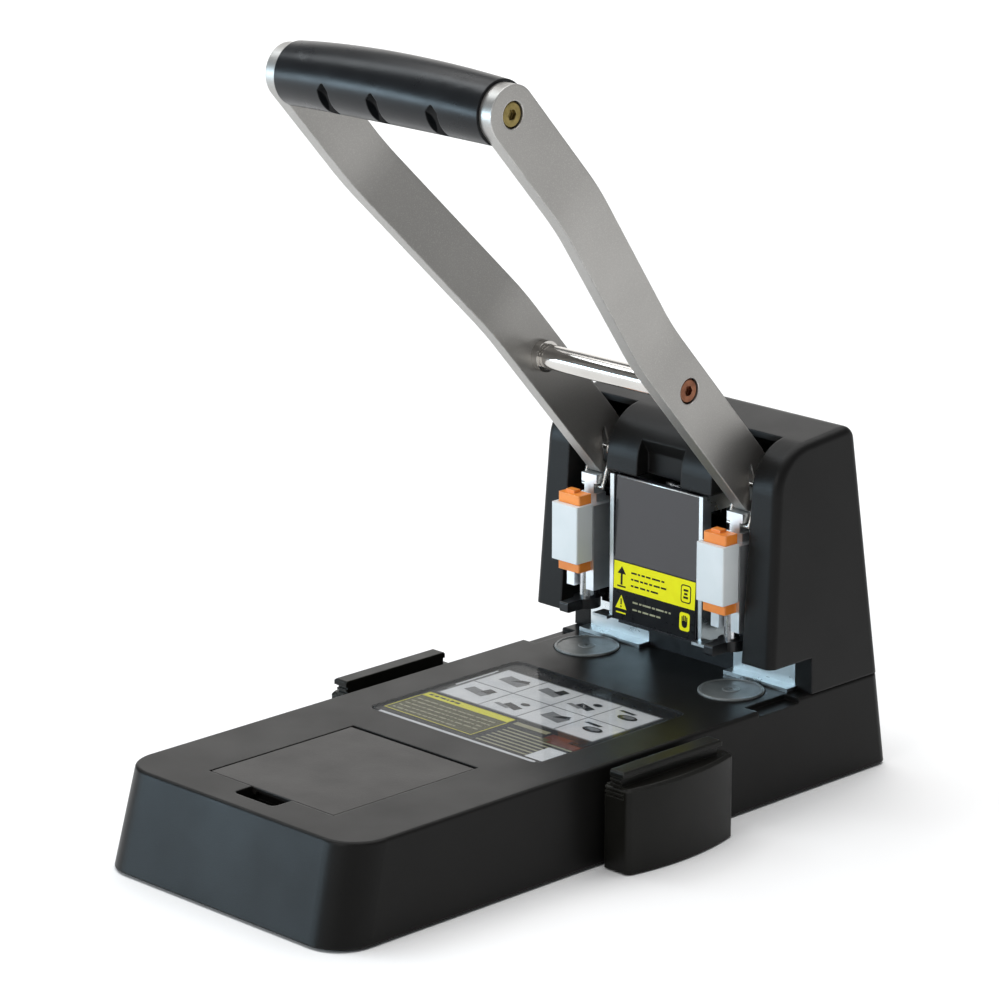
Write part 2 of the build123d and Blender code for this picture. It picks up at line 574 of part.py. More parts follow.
def housing():
    outer = housing_solid(0)
    rim = [e for e in outer.edges() if abs(e.center().X) > 58 and e.center().Z > 45]
    outer = fillet(rim, 3.4)
    body = outer - housing_solid(HOUSING_WALL)
    walls = []
    low, high = CHANNEL
    for a, b, floor in ((high, high + HOUSING_WALL, TOWER_BOTTOM), (low - HOUSING_WALL, low, HUMP_BOTTOM)):
        walls += [block(a, b, -10, STOP_Y, floor, 150), block(-b, -a, -10, STOP_Y, floor, 150)]
    walls.append(block(-14.5, 14.5, -10, 8.6, HUMP_BOTTOM, 134.5))
    floor = block(high, 66, -10, STOP_Y, TOWER_BOTTOM, TOWER_BOTTOM + HOUSING_WALL)
    end = block(56.9, 66, STOP_Y, STOP_Y + HOUSING_WALL, HOUSING_BOTTOM, TOWER_BOTTOM + 2)
    walls += [floor, mirrored(floor), end, mirrored(end)]
    for wall in walls:
        body += outer & wall
    body -= side_prism([(-20, 110), (6.1, 110), (6.1, 127), (-2, 139), (-20, 139)], -12.0, 12.0)
    body -= block(-high, high, -20, CHANNEL_REAR, HOUSING_BOTTOM - 5, HUMP_BOTTOM)
    body -= block(low, high, -20, CHANNEL_REAR, HUMP_BOTTOM - 5, 160)
    body -= block(-high, -low, -20, CHANNEL_REAR, HUMP_BOTTOM - 5, 160)
    return body - block(-70, 70, -20, STOP_Y, HOUSING_BOTTOM - 5, TOWER_BOTTOM)


# ---- export -------------------------------------------------------------
def save(name, solids):
    """Write one node; a list is a group of separate solids."""
    items = solids if isinstance(solids, list) else [solids]
    moved = [Pos(0, PUNCH_LINE_Y, 0) * item for item in items]
    shape = moved[0] if len(moved) == 1 else Compound(children=[Solid(m.solid().wrapped) for m in moved])
    export_step(shape, f"parts/{name}.step")


def save_pair(name, right, left=None):
    save(f"{name}_right", right)
    save(f"{name}_left", mirrored(right) if left is None else left)


def main():
    save("base_shell", base_shell())
    save("base_plate", base_plate())
    save("rubber_feet", rubber_feet())
    save("base_screws", base_screws())
    save("anvil_plate", anvil_plate())
    save_pair("cutting_disc", cutting_disc(PIN_X), cutting_disc(-PIN_X))
    save("storage_lid", storage_lid())
    save("label_card", label_card())
    save("label_cover", label_cover())
    save_pair("guide_handle", guide_handle())
    save_pair("guide_rail", guide_rail(1), guide_rail(-1))
    save_pair("punch_frame", punch_frame())
    save("mounting_plate", mounting_plate())
    save("frame_bolts", frame_bolts())
    save_pair("carrier_guide", carrier_guide(PIN_X), carrier_guide(-PIN_X))
    save("centre_block", centre_block())
    save("pivot_shaft", pivot_shaft())
    save("retaining_rings", retaining_rings())
    save("shaft_spacers", shaft_spacers())
    save_pair("return_spring", return_spring())
    save_pair("lever_arm", lever_arm())
    save("grip", grip())
    save("grip_rod", grip_rod())
    grip_screw = socket_screw(ARM_HIGH_X + ARM_THICK / 2, GRIP_Y, GRIP_Z, 12)
    save("grip_screws", [grip_screw, mirrored(grip_screw)])
    save("cross_rod", cross_rod())
    save("rod_collars", rod_collars())
    rod_screw = socket_screw(ARM_LOW_X + ARM_THICK / 2, ROD_Y, ROD_Z, 12)
    save("rod_screws", [rod_screw, mirrored(rod_screw)])
    save_pair("hub_bush", hub_bush())
    for side, x in (("left", -PIN_X), ("right", PIN_X)):
        save(f"punch_pin_{side}", punch_pin(x))
        save(f"pin_carrier_{side}", pin_carrier(x))
        save(f"pin_lock_{side}", pin_lock(x))
        save(f"release_sleeve_{side}", release_sleeve(x))
        save(f"pressure_foot_{side}", pressure_foot(x))
        save(f"hairpin_link_{side}", hairpin_link(x))
    save("chip_bin", chip_bin())
    save("bin_label", bin_label())
    save("housing", housing())


main()
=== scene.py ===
import math
import random
import bpy
from mathutils import Matrix, Vector

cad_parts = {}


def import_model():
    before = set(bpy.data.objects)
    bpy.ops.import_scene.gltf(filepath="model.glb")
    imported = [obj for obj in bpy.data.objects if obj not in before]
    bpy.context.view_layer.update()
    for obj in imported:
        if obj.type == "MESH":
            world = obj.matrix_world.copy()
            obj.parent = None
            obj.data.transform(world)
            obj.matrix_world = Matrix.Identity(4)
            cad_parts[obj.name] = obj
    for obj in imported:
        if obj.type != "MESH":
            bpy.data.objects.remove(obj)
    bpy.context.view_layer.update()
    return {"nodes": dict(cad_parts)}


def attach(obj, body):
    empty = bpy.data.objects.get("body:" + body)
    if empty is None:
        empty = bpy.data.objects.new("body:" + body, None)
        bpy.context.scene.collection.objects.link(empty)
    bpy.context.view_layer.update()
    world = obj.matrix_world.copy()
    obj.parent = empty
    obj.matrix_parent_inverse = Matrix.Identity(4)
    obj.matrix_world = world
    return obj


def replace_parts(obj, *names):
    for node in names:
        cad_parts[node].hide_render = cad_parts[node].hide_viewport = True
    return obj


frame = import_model()
nodes = frame["nodes"]

MM = 0.001
PIN_LINE_Y = 86.75          # the punch pins' line, mm behind the frame's origin
ACROSS = Vector((1, 0, 0))


def at(x, y, z):
    """A point in metres from millimetres measured about the punch pins' line."""
    return Vector((x * MM, (y + PIN_LINE_Y) * MM, z * MM))


def put(name, data):
    """A new object in the scene that shows data."""
    piece = bpy.data.objects.new(name, data)
    bpy.context.scene.collection.objects.link(piece)
    return piece


def ring(radius, steps):
    """Points of a circle about the origin."""
    turns = [2 * math.pi * k / steps for k in range(steps)]
    return [(radius * math.cos(a), radius * math.sin(a)) for a in turns]


# ---- materials ----------------------------------------------------------
FULL = (0.0, 1.0)
PATCH_NOISE = (0.35, 0.65)     # stretches of noise values, spread over what they drive
GLOSS_NOISE = (0.3, 0.7)
SMEAR_NOISE = (0.35, 0.7)
SPECK_NOISE, SPECK_SHARE = (0.52, 0.7), (0.0, 0.85)
# noise of the edge colour mask, which paints edge wear and a highlight along edges
WEAR_SHEEN_NOISE, WEAR_SHEEN_SHARE, WEAR_SHEEN_SCALE = (0.35, 0.6), (0.35, 1.0), 220.0
EDGE_DOT = (0.995, 0.86)       # cosine between true and rounded normal, flat to full edge


class Shader:
    """A Principled material built from nodes that read object coordinates."""

    def __init__(self, name, rough, metal=0.0, **fixed):
        self.mat = bpy.data.materials.new(name)
        self.mat.use_nodes = True
        self.tree = self.mat.node_tree
        self.tree.nodes.clear()
        output = self.add("ShaderNodeOutputMaterial")
        self.bsdf = self.add("ShaderNodeBsdfPrincipled")
        self.join(self.bsdf.outputs[0], output.inputs["Surface"])
        self.bsdf.inputs["Metallic"].default_value = metal
        self.bsdf.inputs["Roughness"].default_value = rough
        for key, value in fixed.items():
            self.bsdf.inputs[key.replace("_", " ")].default_value = value
        self.coord = self.add("ShaderNodeTexCoord").outputs["Object"]

    def add(self, kind, **props):
        node = self.tree.nodes.new(kind)
        for key, value in props.items():
            setattr(node, key, value)
        return node

    def join(self, a, b):
        self.tree.links.new(a, b)

    def drive(self, key, value):
        """Feed an input of the Principled node."""
        self.join(value, self.bsdf.inputs[key])

    def noise(self, scale, detail=2.0, rough=0.5, stretch=None):
        node = self.add("ShaderNodeTexNoise")
        node.inputs["Scale"].default_value = scale
        node.inputs["Detail"].default_value = detail
        node.inputs["Roughness"].default_value = rough
        source = self.coord
        if stretch:
            mapping = self.add("ShaderNodeMapping")
            mapping.inputs["Scale"].default_value = stretch
            self.join(source, mapping.inputs["Vector"])
            source = mapping.outputs[0]
        self.join(source, node.inputs["Vector"])
        return node.outputs["Fac"]

    def span(self, value, source, target):
        """Value moved from the source stretch (low, high) to the target one."""
        node = self.add("ShaderNodeMapRange")
        for slot, number in zip(("From Min", "From Max", "To Min", "To Max"), (*source, *target)):
            node.inputs[slot].default_value = number
        self.join(value, node.inputs["Value"])
        return node.outputs["Result"]

    def mix(self, fac, a, b):
        node = self.add("ShaderNodeMix", data_type="RGBA", blend_type="MIX")
        self.join(fac, node.inputs["Factor"])
        for slot, value in ((6, a), (7, b)):
            if isinstance(value, tuple):
                node.inputs[slot].default_value = (*value, 1.0)
            else:
                self.join(value, node.inputs[slot])
        return node.outputs[2]

    def rounded_normal(self, radius):
        node = self.add("ShaderNodeBevel", samples=4)
        node.inputs["Radius"].default_value = radius
        return node.outputs[0]

    def edge_mask(self, rounded):
        """1 on edges and near them, 0 on flat ground."""
        true = self.add("ShaderNodeNewGeometry").outputs["Normal"]
        dot = self.add("ShaderNodeVectorMath", operation="DOT_PRODUCT")
        self.join(true, dot.inputs[0])
        self.join(rounded, dot.inputs[1])
        return self.span(dot.outputs["Value"], EDGE_DOT, FULL)

    def bump(self, height, distance, normal=None):
        node = self.add("ShaderNodeBump")
        node.inputs["Strength"].default_value = 1.0
        node.inputs["Distance"].default_value = distance
        self.join(height, node.inputs["Height"])
        if normal is not None:
            self.join(normal, node.inputs["Normal"])
        return node.outputs[0]


def finish(name, color, light, rough, metal=0.0, patch=30.0, spread=0.05, grain=1400.0, depth=0.00002,
           stretch=None, edge=None, radius=0.0005, speck=None, **fixed):
    """Colour drifting from color to light over patches, a fine grain, and brighter or darker edges, where
    the edge colour is partly wear and partly a painted highlight along the edges.

    stretch draws the grain out along one axis for brushed metal. speck mixes a second fine colour in.
    A radius of 0 leaves small pieces without rounded or bright edges.
    """
    s = Shader(name, rough, metal, **fixed)
    tone = s.mix(s.span(s.noise(patch, 3.0), PATCH_NOISE, FULL), color, light)
    fine = s.noise(grain, 2.0, 0.6, stretch)
    if speck:
        tone = s.mix(s.span(fine, SPECK_NOISE, SPECK_SHARE), tone, speck)
    rounded = s.rounded_normal(radius) if radius else None
    if edge and radius:
        # edge colour through a noisy edge mask: partly edge wear, partly a painted highlight on the edges
        wear_and_sheen = s.add("ShaderNodeMath", operation="MULTIPLY")
        s.join(s.edge_mask(rounded), wear_and_sheen.inputs[0])
        s.join(s.span(s.noise(WEAR_SHEEN_SCALE, 3.0), WEAR_SHEEN_NOISE, WEAR_SHEEN_SHARE), wear_and_sheen.inputs[1])
        tone = s.mix(wear_and_sheen.outputs[0], tone, edge)
    gloss = s.noise(patch * 2.7, 4.0)
    s.drive("Base Color", tone)
    s.drive("Roughness", s.span(gloss, GLOSS_NOISE, (rough - spread, rough + spread)))
    s.drive("Normal", s.bump(fine, depth, rounded))
    return s.mat


def clear_finish(name, tint, rough, opacity):
    """Clear plastic as a thin gloss over what lies under it, with faint smears."""
    s = Shader(name, rough, Alpha=opacity)
    smear = s.noise(55.0, 4.0, 0.6, (1.0, 3.0, 1.0))
    s.drive("Roughness", s.span(smear, SMEAR_NOISE, (rough * 0.6, rough * 1.8)))
    s.drive("Base Color", s.mix(smear, tint, tuple(1.3 * c for c in tint)))
    s.drive("Normal", s.bump(s.noise(300.0), 0.000004))
    return s.mat


def print_ink(name, color, light, rough=0.42):
    """Printed colour with a slight unevenness and a fine screen."""
    return finish(name, color, light, rough, patch=120.0, grain=2600.0, depth=0.0000002, radius=0,
                  Specular_IOR_Level=0.12)


# the edge colours below are partly wear and partly a painted highlight along the edges
BASE = finish("moulded_base", (0.0058, 0.0056, 0.0052), (0.0085, 0.0082, 0.0078), rough=0.34,
              patch=14.0, spread=0.04, grain=1900.0, depth=0.00003, edge=(0.03, 0.029, 0.028),
              radius=0.0009, Specular_IOR_Level=0.12)
HOUSING = finish("moulded_housing", (0.0062, 0.0061, 0.006), (0.0095, 0.0093, 0.009), rough=0.37,
                 patch=16.0, spread=0.04, grain=1700.0, depth=0.00004, edge=(0.03, 0.03, 0.031),
                 radius=0.0012, Specular_IOR_Level=0.14)
UNDERSIDE = finish("underside_plate", (0.012, 0.012, 0.012), (0.02, 0.02, 0.02), rough=0.6,
                   grain=1200.0, depth=0.00005)
RUBBER = finish("foot_rubber", (0.012, 0.012, 0.012), (0.022, 0.021, 0.02), rough=0.82, patch=90.0,
                grain=2400.0, depth=0.00008, edge=(0.04, 0.038, 0.036))
SCREW = finish("blackened_screw", (0.08, 0.08, 0.085), (0.13, 0.13, 0.135), rough=0.38, metal=1.0,
               patch=300.0, grain=3000.0, edge=(0.3, 0.3, 0.31), radius=0.0002)
ANVIL = finish("ground_steel", (0.4, 0.41, 0.43), (0.5, 0.51, 0.53), rough=0.32, metal=1.0, patch=60.0,
               grain=900.0, stretch=(0.3, 6.0, 1.0), depth=0.00001, edge=(0.7, 0.71, 0.73))
DISC = finish("cutting_disc", (0.11, 0.122, 0.122), (0.15, 0.165, 0.165), rough=0.36, patch=90.0,
              grain=2300.0, depth=0.00003, edge=(0.42, 0.44, 0.45), radius=0.0005)
LID = finish("lid_plastic", (0.0105, 0.009, 0.0082), (0.014, 0.0122, 0.0112), rough=0.39, patch=18.0,
             spread=0.04, grain=1500.0, depth=0.00005, edge=(0.045, 0.041, 0.038), radius=0.0004,
             Specular_IOR_Level=0.26)
CLEAR = clear_finish("clear_cover", (0.03, 0.034, 0.038), rough=0.045, opacity=0.2)
GUIDE = finish("guide_plastic", (0.0055, 0.0054, 0.0045), (0.0085, 0.0083, 0.007), rough=0.33,
               patch=30.0, grain=1800.0, depth=0.00003, edge=(0.04, 0.04, 0.034), radius=0.0007,
               Specular_IOR_Level=0.14)
RAIL = finish("rail_plastic", (0.02, 0.02, 0.02), (0.03, 0.03, 0.03), rough=0.5, patch=60.0,
              grain=1500.0, depth=0.00004)
ZINC = finish("zinc_sheet", (0.62, 0.66, 0.67), (0.7, 0.74, 0.75), rough=0.3, metal=1.0, patch=70.0,
              spread=0.04, grain=500.0, stretch=(1.0, 1.0, 5.0), depth=0.000004, radius=0)
ACETAL = finish("black_acetal", (0.0065, 0.007, 0.008), (0.01, 0.011, 0.0125), rough=0.33, patch=80.0,
                grain=2100.0, depth=0.00002, radius=0, Specular_IOR_Level=0.4)
SHAFT = finish("ground_shaft", (0.5, 0.5, 0.51), (0.6, 0.6, 0.61), rough=0.24, metal=1.0, patch=150.0,
               grain=1500.0, stretch=(8.0, 1.0, 1.0), depth=0.000006, edge=(0.75, 0.75, 0.76),
               radius=0.0002)
SPRING = finish("spring_wire", (0.42, 0.4, 0.37), (0.55, 0.53, 0.5), rough=0.26, metal=1.0, patch=400.0,
                grain=3200.0, depth=0.000006, radius=0.0001)
ARM = finish("arm_coat", (0.345, 0.336, 0.32), (0.388, 0.377, 0.36), rough=0.4, metal=0.85, patch=12.0,
             spread=0.04, grain=2300.0, depth=0.00002, speck=(0.47, 0.457, 0.437),
             edge=(0.74, 0.73, 0.71), radius=0.0008)
GRIP = finish("grip_plastic", (0.0045, 0.005, 0.006), (0.007, 0.0078, 0.009), rough=0.3, patch=22.0,
              spread=0.04, grain=1600.0, depth=0.00002, radius=0.0006, Specular_IOR_Level=0.24)
BRASS = finish("passivated_brass", (0.2, 0.155, 0.055), (0.3, 0.235, 0.09), rough=0.36, metal=1.0,
               patch=320.0, grain=2500.0, edge=(0.5, 0.41, 0.2), radius=0.0003)
COPPER = finish("copper_screw", (0.17, 0.07, 0.04), (0.27, 0.115, 0.065), rough=0.34, metal=1.0,
                patch=320.0, grain=2500.0, edge=(0.48, 0.27, 0.18), radius=0.0003)
CHROME = finish("polished_chrome", (0.55, 0.53, 0.5), (0.62, 0.6, 0.57), rough=0.1, metal=1.0,
                patch=60.0, spread=0.03, grain=500.0, stretch=(0.5, 4.0, 4.0), depth=0.000002,
                radius=0.0003)
BRONZE = finish("bearing_bronze", (0.35, 0.22, 0.08), (0.45, 0.3, 0.13), rough=0.38, metal=1.0,
                patch=200.0, grain=1800.0)
CAST = finish("die_casting", (0.68, 0.72, 0.74), (0.78, 0.81, 0.83), rough=0.34, metal=0.85, patch=90.0,
              spread=0.04, grain=1500.0, depth=0.00001, radius=0)
PIN = finish("hardened_pin", (0.5, 0.52, 0.54), (0.62, 0.64, 0.66), rough=0.2, metal=1.0, patch=200.0,
             grain=1200.0, stretch=(1.0, 1.0, 0.1), depth=0.000003, radius=0)
ORANGE = finish("orange_lock", (0.86, 0.24, 0.03), (0.93, 0.3, 0.045), rough=0.38, patch=70.0,
                grain=2100.0, depth=0.00003, edge=(0.92, 0.42, 0.17), radius=0.0005)
SLEEVE = finish("release_sleeve", (0.7, 0.75, 0.76), (0.76, 0.8, 0.81), rough=0.36, patch=60.0,
                grain=1900.0, depth=0.00002, edge=(0.74, 0.77, 0.79), radius=0.0005)
SMOKED = finish("smoked_bin", (0.01, 0.0096, 0.0135), (0.015, 0.0143, 0.019), rough=0.12, patch=25.0,
                spread=0.04, grain=900.0, depth=0.000006, radius=0, Coat_Weight=0.4,
                Coat_Roughness=0.06)

FILM = print_ink("film_black", (0.012, 0.012, 0.012), (0.017, 0.017, 0.017), rough=0.3)
CARD_GREY = print_ink("card_grey", (0.014, 0.014, 0.013), (0.02, 0.02, 0.019))
CARD_BLACK = print_ink("card_black", (0.004, 0.004, 0.005), (0.007, 0.007, 0.008), rough=0.3)
CARD_SLATE = print_ink("card_slate", (0.01, 0.012, 0.015), (0.015, 0.017, 0.021))
CARD_OLIVE = print_ink("card_olive", (0.085, 0.08, 0.03), (0.105, 0.1, 0.04))
CARD_PALE = print_ink("card_pale", (0.36, 0.35, 0.22), (0.42, 0.41, 0.27))
CARD_YELLOW = print_ink("card_yellow", (0.85, 0.8, 0.03), (0.92, 0.88, 0.05))
CARD_WHITE = print_ink("card_white", (0.8, 0.83, 0.86), (0.9, 0.92, 0.94))
CARD_MID = print_ink("card_mid", (0.22, 0.23, 0.24), (0.3, 0.31, 0.32))
CARD_RED = print_ink("card_red", (0.13, 0.028, 0.014), (0.2, 0.05, 0.026))
BAND_YELLOW = print_ink("band_yellow", (0.9, 0.84, 0.004), (0.95, 0.9, 0.008), rough=0.45)


def both(*names):
    """The left and right nodes of each name."""
    return [f"{name}_{side}" for name in names for side in ("left", "right")]


COATS = {
    BASE: ["base_shell"],
    HOUSING: ["housing"],
    UNDERSIDE: ["base_plate"],
    RUBBER: ["rubber_feet"],
    SCREW: ["base_screws", "frame_bolts"],
    ANVIL: ["anvil_plate", "mounting_plate"],
    DISC: both("cutting_disc"),
    LID: ["storage_lid"],
    CLEAR: ["label_cover"],
    GUIDE: both("guide_handle"),
    RAIL: both("guide_rail"),
    ZINC: both("punch_frame"),
    ACETAL: ["centre_block", *both("carrier_guide", "pressure_foot")],
    SHAFT: ["pivot_shaft", "shaft_spacers", "grip_rod"],
    SPRING: ["retaining_rings", *both("return_spring", "hairpin_link")],
    ARM: both("lever_arm"),
    GRIP: ["grip"],
    BRASS: ["grip_screws"],
    COPPER: ["rod_screws"],
    CHROME: ["cross_rod", "rod_collars"],
    BRONZE: both("hub_bush"),
    CAST: both("pin_carrier"),
    PIN: both("punch_pin"),
    ORANGE: both("pin_lock"),
    SLEEVE: both("release_sleeve"),
    SMOKED: ["chip_bin"],
    FILM: ["bin_label"],
}
for coat, names in COATS.items():
    for name in names:
        mesh = nodes[name].data
        mesh.materials.clear()
        mesh.materials.append(coat)


# ---- printed pieces -----------------------------------------------------
WORD_LENGTH, WORD_GAP, WORD_LEAST = (1.2, 4.6), (0.45, 0.9), 1.0


class Print:
    """Flat printed shapes on one plane, each layer a little above the last, as one mesh."""

    def __init__(self, name, origin, up, step):
        self.name, self.origin = name, origin
        self.up, self.step = up.normalized(), step
        self.out = ACROSS.cross(self.up)
        self.points, self.faces, self.inks, self.slots = [], [], [], []

    def shape(self, layer, ink, outline):
        """A closed outline of (across, up) points in millimetres."""
        if ink not in self.inks:
            self.inks.append(ink)
        start = len(self.points)
        lift = self.out * layer * self.step * MM
        for u, v in outline:
            self.points.append(self.origin + ACROSS * u * MM + self.up * v * MM + lift)
        self.faces.append(tuple(range(start, len(self.points))))
        self.slots.append(self.inks.index(ink))

    def bar(self, layer, ink, u0, u1, v0, v1):
        self.shape(layer, ink, [(u0, v0), (u1, v0), (u1, v1), (u0, v1)])

    def round_bar(self, layer, ink, u0, u1, v0, v1, radius, steps=6):
        outline = []
        left, right, low, high = u0 + radius, u1 - radius, v0 + radius, v1 - radius
        for cu, cv, start in ((right, high, 0), (left, high, 90), (left, low, 180), (right, low, 270)):
            for k in range(steps + 1):
                a = math.radians(start + 90 * k / steps)
                outline.append((cu + radius * math.cos(a), cv + radius * math.sin(a)))
        self.shape(layer, ink, outline)

    def outline(self, layer, ink, u0, u1, v0, v1, wide):
        for bar in ((u0, u1, v0, v0 + wide), (u0, u1, v1 - wide, v1),
                    (u0, u0 + wide, v0, v1), (u1 - wide, u1, v0, v1)):
            self.bar(layer, ink, *bar)

    def disc(self, layer, ink, u, v, radius, squash=1.0):
        self.shape(layer, ink, [(u + a, v + squash * b) for a, b in ring(radius, 24)])

    def words(self, layer, ink, u0, u1, v, high, seed):
        """A line of short dashes that stands for small print."""
        rng = random.Random(seed)
        u = u0
        while u < u1 - WORD_LEAST:
            long = min(rng.uniform(*WORD_LENGTH), u1 - u)
            self.bar(layer, ink, u, u + long, v, v + high)
            u += long + rng.uniform(*WORD_GAP)

    def build(self, body):
        mesh = bpy.data.meshes.new(self.name)
        mesh.from_pydata([tuple(p) for p in self.points], [], self.faces)
        for ink in self.inks:
            mesh.materials.append(ink)
        for face, k in zip(mesh.polygons, self.slots):
            face.material_index = k
        mesh.update()
        piece = put(self.name, mesh)
        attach(piece, body)
        return piece


CARD_Z, CARD_STEP = 38.63, 0.045          # lowest print and the lift of each layer, under the clear cover
COLUMNS = (-42.8, -20.6, 0.4, 21.2, 42.4)  # edges of the picture tiles
ROWS = (-81.8, -62.2, -42.6)
TILE_GAP, TILE_RIM = 0.35, 0.5


def notice(card):
    """The yellow-framed box with five lines of dashes under a yellow band."""
    left, right, low, neck, high = -45.4, 3.6, -109.5, -89.0, -84.0
    lines, pitch, line_left, line_right, last_short = 5, 3.4, -43.2, 0.8, 9
    card.bar(1, CARD_OLIVE, left, right, low, neck)
    card.outline(2, CARD_YELLOW, left, right, low, high, 0.45)
    card.bar(2, CARD_YELLOW, left, right, neck, high)
    for k in range(lines):
        end = line_right - (last_short if k == lines - 1 else 0)
        card.words(2, CARD_PALE, line_left, end, neck - 4.4 - pitch * k, 1.0, 10 + k)
    card.words(3, CARD_BLACK, -43.0, -26.0, -87.2, 1.4, 3)


def ruled_field(card):
    """The dark field with a short heading, seven ruled lines, a white corner and a red picture."""
    left, right, low, high = 5.6, 45.0, -112.0, -84.0
    card.bar(1, CARD_SLATE, left, right, low, high)
    card.bar(2, CARD_PALE, left, 24.0, -88.6, -85.6)
    for k in range(7):
        shorter = 1.4 * k if k < 3 else 0
        v = low + 1.0 + 2.9 * k
        card.bar(2, CARD_PALE, left + 2.0, right - shorter, v, v + 1.1)
    card.bar(3, CARD_WHITE, 35.5, right, low, -98.5)
    card.bar(3, CARD_RED, 26.0, 45.2, -95.0, -86.6)
    card.bar(4, CARD_BLACK, 37.0, 45.2, -90.4, -86.6)
    card.bar(4, CARD_OLIVE, 26.0, 30.0, -95.0, -92.0)


def picture_tiles(card):
    """Eight white tiles, each with a small drawing, on a grey ground, and two fine lines beside them."""
    left, right = COLUMNS[0] - TILE_RIM, COLUMNS[-1] + TILE_RIM
    card.bar(1, CARD_MID, left, right, ROWS[0] - TILE_RIM, ROWS[-1] + TILE_RIM)
    card.bar(2, CARD_WHITE, -45.2, -44.2, -70.5, -46.5)
    card.bar(2, CARD_MID, -44.0, -43.4, -76, -49.5)
    for i in range(4):
        for j in range(2):
            u0, u1 = COLUMNS[i] + TILE_GAP, COLUMNS[i + 1] - TILE_GAP
            v0, v1 = ROWS[j] + TILE_GAP, ROWS[j + 1] - TILE_GAP
            card.bar(2, CARD_WHITE, u0, u1, v0, v1)
            picture(card, 3, i + 4 * j, u0, v0, u1 - u0, v1 - v0)


def picture(card, layer, kind, u0, v0, wide, high):
    """One small drawing in a tile: a slab for the base, a bar for the lever, a sheet or a disc."""
    def p(a, b):
        """A point of the card from shares of the tile's width and height."""
        return (u0 + a * wide, v0 + b * high)

    def slab(ink, a, b, long, deep, lean=0.12, extra=0):
        corners = ((a, b), (a + long, b - lean), (a + long + 0.05, b + deep - lean), (a + 0.05, b + deep))
        card.shape(layer + extra, ink, [p(*corner) for corner in corners])

    if kind in (0, 5):
        slab(CARD_MID, 0.18, 0.5, 0.55, 0.26)
        slab(CARD_BLACK, 0.52, 0.62, 0.22, 0.24, 0.04, 1)
    elif kind in (1, 6):
        slab(CARD_BLACK, 0.3, 0.36, 0.44, 0.2)
        slab(CARD_MID, 0.12, 0.3, 0.4, 0.1, 0.08, 1)
        card.disc(layer + 1, CARD_BLACK, *p(0.66, 0.66), 0.11 * wide, 0.7)
    elif kind in (2, 4):
        slab(CARD_MID, 0.24, 0.42, 0.6, 0.34)
        card.shape(layer + 1, CARD_BLACK, [p(0.5, 0.5), p(0.86, 0.62), p(0.8, 0.76), p(0.62, 0.7)])
    else:
        card.disc(layer, CARD_BLACK, *p(0.54, 0.52), 0.24 * wide, 0.55)
        card.disc(layer + 1, CARD_MID, *p(0.54, 0.55), 0.15 * wide, 0.5)
        slab(CARD_BLACK, 0.12, 0.74, 0.4, 0.09, 0.03, 1)


def label_card():
    """The instruction card under the clear cover, with made-up pictures and dashes for words."""
    card = Print("label_card_print", at(0, 0, CARD_Z), Vector((0, 1, 0)), CARD_STEP)
    card.round_bar(0, CARD_GREY, -46, 46, -115.5, -34.5, 3.0)
    card.bar(1, CARD_BLACK, -34, 45.4, -40.6, -35.0)
    card.bar(1, CARD_WHITE, -43, 43, -115.3, -113.2)
    notice(card)
    ruled_field(card)
    picture_tiles(card)
    return card.build("base")


BIN_HALF = 22.4             # half the chip bin's front
BAND_LOW, BAND_SPLIT, BAND_HIGH = 0.2, 12.6, 24.2
BIN_RUN, BIN_RISE = 2.2, 60.3     # how far the bin's front leans back over its height
STRIP_STEP = 0.03


def yellow_band(strip):
    """An arrow, three lines of dashes and a framed sheet, black on yellow."""
    strip.bar(1, CARD_BLACK, -18.6, -17.5, 14.6, 20.4)
    strip.shape(1, CARD_BLACK, [(-20.4, 19.2), (-15.7, 19.2), (-18.05, 22.4)])
    strip.bar(1, CARD_BLACK, -20.4, -15.7, 13.6, 14.3)
    for k, (end, v) in enumerate(((5.5, 20.3), (8.0, 17.6), (2.5, 14.9))):
        strip.words(1, CARD_BLACK, -12.8, end, v, 0.75, 30 + k)
    strip.round_bar(1, CARD_BLACK, 14.6, 20.2, 14.6, 22.2, 1.3)
    strip.round_bar(2, BAND_YELLOW, 15.1, 19.7, 15.1, 21.7, 1.0)
    middle = 17.4
    for v, long in ((19.9, 2.6), (18.4, 1.8), (16.9, 2.6)):
        strip.bar(3, CARD_BLACK, middle - long / 2, middle + long / 2, v - 0.45, v + 0.45)


def black_band(strip):
    """A triangle with a mark, two lines of dashes and a hand on a square, yellow on black."""
    strip.shape(1, BAND_YELLOW, [(-21.0, 4.6), (-14.8, 4.6), (-17.9, 10.4)])
    strip.bar(2, CARD_BLACK, -18.25, -17.55, 6.4, 8.9)
    strip.bar(2, CARD_BLACK, -18.25, -17.55, 5.2, 5.9)
    strip.bar(1, BAND_YELLOW, -20.6, -15.2, 2.6, 3.2)
    for k, (end, v) in enumerate(((9.5, 8.2), (4.0, 5.2))):
        strip.words(1, CARD_PALE, -11.5, end, v, 0.7, 40 + k)
    strip.round_bar(1, BAND_YELLOW, 14.4, 20.0, 3.0, 10.6, 1.3)
    strip.disc(2, CARD_BLACK, 17.2, 5.8, 1.5)
    for k in range(4):
        left = 15.6 + 0.85 * k
        tip = 8.9 if k in (0, 3) else 9.4
        strip.bar(2, CARD_BLACK, left, left + 0.6, 6.0, tip)


